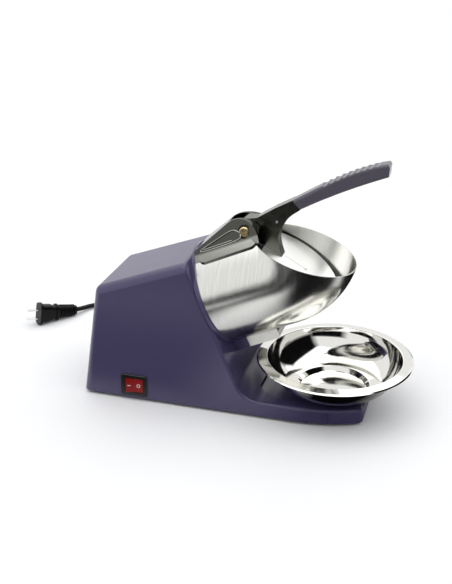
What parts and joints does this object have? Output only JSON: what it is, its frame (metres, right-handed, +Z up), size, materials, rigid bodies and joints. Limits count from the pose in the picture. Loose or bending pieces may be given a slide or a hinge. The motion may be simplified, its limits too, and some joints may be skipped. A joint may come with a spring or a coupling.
{
  "type": "ice shaver",
  "caption": "Electric ice shaver with a tilted steel hopper, lever-worked press plate, rocker switch, corded motor housing and a lift-out bowl.",
  "frame": {"origin": "on the table under the middle of the machine's length, cord left out, on its plane of symmetry", "axes": "+X forward from the motor housing's heel to the nose and bowl, +Z up, +Y to the side the cord leaves"},
  "size_m": [0.5374, 0.2762, 0.2996],
  "materials": {
    "housing_plastic": "semi-gloss moulded ABS",
    "base_plastic": "moulded ABS",
    "screw_steel": "zinc-plated steel",
    "foot_rubber": "matte rubber",
    "switch_plastic": "moulded nylon",
    "rocker_plastic": "red moulded polycarbonate",
    "terminal_brass": "stamped brass",
    "motor_steel": "drawn steel can",
    "lamination_steel": "stacked laminations",
    "bell_aluminium": "as cast",
    "bearing_steel": "ground steel",
    "fan_plastic": "moulded nylon",
    "shaft_steel": "ground steel",
    "disc_stainless": "brushed stainless steel",
    "blade_steel": "ground edge",
    "drum_stainless": "polished stainless steel",
    "hood_stainless": "stainless sheet",
    "lever_chrome": "chromed die casting",
    "bolt_brass": "brass-plated",
    "grip_plastic": "moulded ABS",
    "plate_stainless": "mirror-polished stainless steel",
    "bowl_stainless": "mirror-polished stainless steel",
    "cord_rubber": "black PVC",
    "plug_plastic": "moulded PVC",
    "plug_brass": "nickel-plated brass"
  },
  "bodies": {
    "base": {"housing_shell": "housing_plastic", "base_plate": "base_plastic", "base_screws": "screw_steel", "rubber_feet": "foot_rubber", "foot_screws": "screw_steel", "switch_body": "switch_plastic", "switch_terminals": "terminal_brass", "motor_can": "motor_steel", "motor_stator": "lamination_steel", "motor_front_bell": "bell_aluminium", "motor_rear_bell": "bell_aluminium", "motor_screws": "screw_steel", "front_bearing": "bearing_steel", "rear_bearing": "bearing_steel", "shaft_seal": "foot_rubber", "cutting_chamber": "bell_aluminium", "hopper_drum": "drum_stainless", "drum_screws": "screw_steel", "ice_hood": "hood_stainless", "hood_screws": "screw_steel", "lever_bracket": "lever_chrome", "bracket_rivets": "screw_steel", "pivot_bolt": "bolt_brass", "pivot_nut": "bolt_brass", "cord_gland": "cord_rubber", "cord_lead": "cord_rubber", "cord_coil": "cord_rubber", "plug_body": "plug_plastic", "plug_blades": "plug_brass"},
    "rotor": {"rotor_shaft": "shaft_steel", "armature": "lamination_steel", "cooling_fan": "fan_plastic", "blade_disc": "disc_stainless", "shaving_blades": "blade_steel", "blade_screws": "screw_steel", "ice_paddles": "disc_stainless", "hub_nut": "screw_steel"},
    "lever": {"lever_arm": "lever_chrome", "lever_grip": "grip_plastic", "press_plate": "plate_stainless", "plate_rivets": "screw_steel"},
    "rocker": {"switch_rocker": "rocker_plastic"},
    "bowl_body": {"bowl": "bowl_stainless"}
  },
  "joints": [
    {"name": "rotor_spin", "type": "hinge", "parent": "base", "child": "rotor", "pos_m": [-0.03644, 0, 0.1274], "axis": [0.91, 0, 0.4147], "continuous": true},
    {"name": "lever_pivot", "type": "hinge", "parent": "base", "child": "lever", "pos_m": [-0.00293, 0, 0.21301], "axis": [0, 1, 0], "range_deg": [-95, 38]},
    {"name": "switch_rock", "type": "hinge", "parent": "base", "child": "rocker", "pos_m": [-0.12654, -0.06085, 0.01945], "axis": [0, -0.0489, -0.9988], "range_deg": [0, 16]},
    {"name": "bowl_lift", "type": "slide", "parent": "base", "child": "bowl_body", "axis": [0.9272, 0, 0.3746], "range_m": [0, 0.12]}
  ]
}
